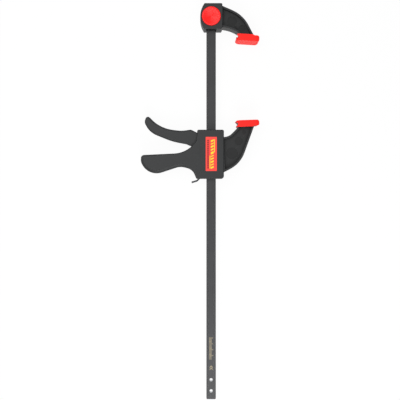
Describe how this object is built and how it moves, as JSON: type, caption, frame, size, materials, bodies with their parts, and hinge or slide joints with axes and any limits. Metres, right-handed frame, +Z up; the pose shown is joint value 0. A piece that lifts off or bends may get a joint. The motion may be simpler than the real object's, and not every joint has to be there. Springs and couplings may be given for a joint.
{
  "type": "quick release bar clamp",
  "caption": "One-handed quick release bar clamp with sliding jaw, squeeze trigger, release lever and removable soft pads.",
  "frame": {"origin": "centre of the bounding box's floor, with the clamp lying flat on its side", "axes": "+Y along the bar towards the fixed jaw, +X across the bar towards the pads, +Z up through the clamp's thickness"},
  "size_m": [0.2007, 0.6726, 0.036],
  "materials": {
    "moulded_black": "fine matt grain, charcoal black",
    "bar_steel": "satin black oxide on steel",
    "red_rubber": "soft satin red",
    "red_button": "semi-gloss red",
    "label_print": "printed film, satin",
    "plated_steel": "zinc plated",
    "dark_steel": "blackened spring steel"
  },
  "bodies": {
    "bar_and_head": {"bar": "bar_steel", "fixed_jaw": "moulded_black", "head_cap": "moulded_black", "button_spring": "plated_steel"},
    "button": {"release_button": "red_button", "lock_plate": "plated_steel", "lock_pin": "plated_steel"},
    "fixed_jaw_pad": {"fixed_pad": "red_rubber"},
    "sliding_jaw": {"moving_jaw": "moulded_black", "front_cover": "moulded_black", "rear_cover": "moulded_black", "cover_screws": "plated_steel", "label": "label_print", "trigger_pin": "plated_steel", "drive_spring": "plated_steel", "lever_spring": "plated_steel"},
    "squeeze_trigger": {"trigger": "moulded_black"},
    "drive": {"drive_plate_1": "plated_steel", "drive_plate_2": "plated_steel", "drive_plate_3": "plated_steel"},
    "brake_lever": {"release_lever": "dark_steel"},
    "moving_jaw_pad": {"moving_pad": "red_rubber"}
  },
  "joints": [
    {"name": "jaw_slide", "type": "slide", "parent": "bar_and_head", "child": "sliding_jaw", "axis": [0, 1, 0], "range_m": [-0.324, 0.13]},
    {"name": "trigger_squeeze", "type": "hinge", "parent": "sliding_jaw", "child": "squeeze_trigger", "pos_m": [0.0322, 0.10425, 0.018], "axis": [0, 0, 1], "range_deg": [0, 13.5], "stiffness_Nm_per_rad": 0.6, "springref_deg": -6.88},
    {"name": "drive_stroke", "type": "slide", "parent": "sliding_jaw", "child": "drive", "axis": [0, -1, 0], "range_m": [0, 0.0054], "deforming": ["drive_spring"]},
    {"name": "brake_release", "type": "hinge", "parent": "sliding_jaw", "child": "brake_lever", "pos_m": [0.035, 0.06315, 0.018], "axis": [0, 0, 1], "range_deg": [0, 6], "stiffness_Nm_per_rad": 0.4, "springref_deg": -8.59, "deforming": ["lever_spring"]},
    {"name": "button_push", "type": "slide", "parent": "bar_and_head", "child": "button", "axis": [0, 0, -1], "range_m": [0, 0.004], "stiffness_N_per_m": 800, "springref_m": -0.004, "deforming": ["button_spring"]},
    {"name": "fixed_pad_slide", "type": "slide", "parent": "bar_and_head", "child": "fixed_jaw_pad", "axis": [0.9981, -0.061, 0], "range_m": [0, 0.038]},
    {"name": "moving_pad_slide", "type": "slide", "parent": "sliding_jaw", "child": "moving_jaw_pad", "axis": [0.9994, 0.0349, 0], "range_m": [0, 0.038]}
  ],
  "couplings": [
    {"joint": "drive_stroke", "follows": "trigger_squeeze", "m_per_rad": 0.0229}
  ]
}
